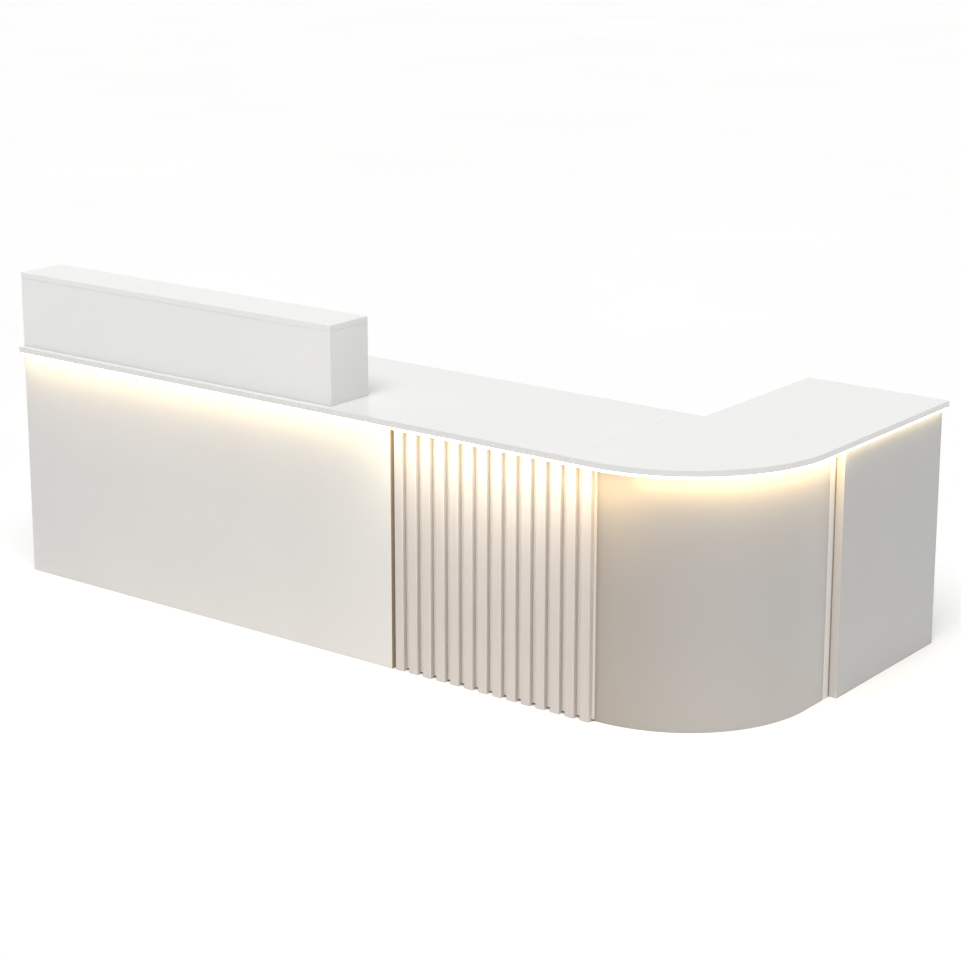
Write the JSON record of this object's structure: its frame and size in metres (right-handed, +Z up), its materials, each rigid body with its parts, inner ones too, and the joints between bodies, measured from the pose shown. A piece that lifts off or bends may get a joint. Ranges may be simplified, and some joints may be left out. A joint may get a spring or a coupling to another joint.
{
  "type": "checkout counter",
  "caption": "L-shaped shop counter with a rounded corner, slatted front panel, riser box, under-edge light strip, staff-side drawers and a cupboard with hinged doors.",
  "frame": {"origin": "on the floor, under the centre of the whole counter's box", "axes": "+X runs along the customer side to its right, where the return is; +Y points from the customers to the staff; +Z is up"},
  "size_m": [2.672, 1.17, 0.988],
  "materials": {
    "worktop_lacquer": "white gloss lacquer on board",
    "riser_lacquer": "white satin lacquer on board",
    "gloss_lacquer": "off-white high gloss lacquer on board",
    "return_lacquer": "light grey high gloss lacquer on board",
    "slat_lacquer": "warm white satin lacquer on board",
    "corner_lacquer": "warm white gloss lacquer on bent board",
    "carcass_board": "white melamine-faced board",
    "drawer_board": "light grey melamine-faced board",
    "slide_steel": "zinc-plated steel",
    "hinge_steel": "satin nickel-plated steel",
    "handle_aluminium": "satin anodised",
    "light_sleeve": "frosted silicone sleeve, warm white light",
    "driver_case": "moulded case"
  },
  "bodies": {
    "carcass": {"worktop_main": "worktop_lacquer", "worktop_corner": "worktop_lacquer", "worktop_return": "worktop_lacquer", "riser_front_board": "riser_lacquer", "riser_top_board": "riser_lacquer", "riser_left_end": "riser_lacquer", "riser_right_end": "riser_lacquer", "front_fascia": "gloss_lacquer", "return_fascia": "return_lacquer", "slat_backing": "slat_lacquer", "front_slat_01": "slat_lacquer", "front_slat_02": "slat_lacquer", "front_slat_03": "slat_lacquer", "front_slat_04": "slat_lacquer", "front_slat_05": "slat_lacquer", "front_slat_06": "slat_lacquer", "front_slat_07": "slat_lacquer", "front_slat_08": "slat_lacquer", "front_slat_09": "slat_lacquer", "front_slat_10": "slat_lacquer", "front_slat_11": "slat_lacquer", "front_slat_12": "slat_lacquer", "front_slat_13": "slat_lacquer", "front_slat_14": "slat_lacquer", "corner_skin": "corner_lacquer", "corner_end_stile": "slat_lacquer", "light_strip_main": "light_sleeve", "light_strip_corner": "light_sleeve", "light_strip_return": "light_sleeve", "light_driver": "driver_case", "left_end_board": "carcass_board", "main_right_board": "carcass_board", "front_carcass_board": "carcass_board", "pedestal_left_board": "carcass_board", "pedestal_right_board": "carcass_board", "pedestal_shelf": "carcass_board", "corner_rib_bottom": "carcass_board", "corner_rib_top": "carcass_board", "corner_back_board": "carcass_board", "return_end_board": "carcass_board", "return_back_board": "carcass_board", "return_bottom_board": "carcass_board", "return_shelf": "carcass_board", "upper_drawer_slide_left": "slide_steel", "upper_drawer_slide_right": "slide_steel", "lower_drawer_slide_left": "slide_steel", "lower_drawer_slide_right": "slide_steel", "return_door_inner_hinge": "hinge_steel", "return_door_outer_hinge": "hinge_steel"},
    "upper_drawer": {"upper_drawer_front": "carcass_board", "upper_drawer_box": "drawer_board", "upper_drawer_handle": "handle_aluminium"},
    "lower_drawer": {"lower_drawer_front": "carcass_board", "lower_drawer_box": "drawer_board", "lower_drawer_handle": "handle_aluminium"},
    "inner_door": {"return_door_inner": "carcass_board", "return_door_inner_handle": "handle_aluminium"},
    "outer_door": {"return_door_outer": "carcass_board", "return_door_outer_handle": "handle_aluminium"}
  },
  "joints": [
    {"name": "upper_drawer_slide", "type": "slide", "parent": "carcass", "child": "upper_drawer", "axis": [0, 1, 0], "range_m": [0, 0.38]},
    {"name": "lower_drawer_slide", "type": "slide", "parent": "carcass", "child": "lower_drawer", "axis": [0, 1, 0], "range_m": [0, 0.38]},
    {"name": "inner_door_hinge", "type": "hinge", "parent": "carcass", "child": "inner_door", "pos_m": [0.8722, -0.0109, 0], "axis": [0, 0, 1], "range_deg": [0, 90]},
    {"name": "outer_door_hinge", "type": "hinge", "parent": "carcass", "child": "outer_door", "pos_m": [0.8722, 0.5629, 0], "axis": [0, 0, -1], "range_deg": [0, 175]}
  ]
}
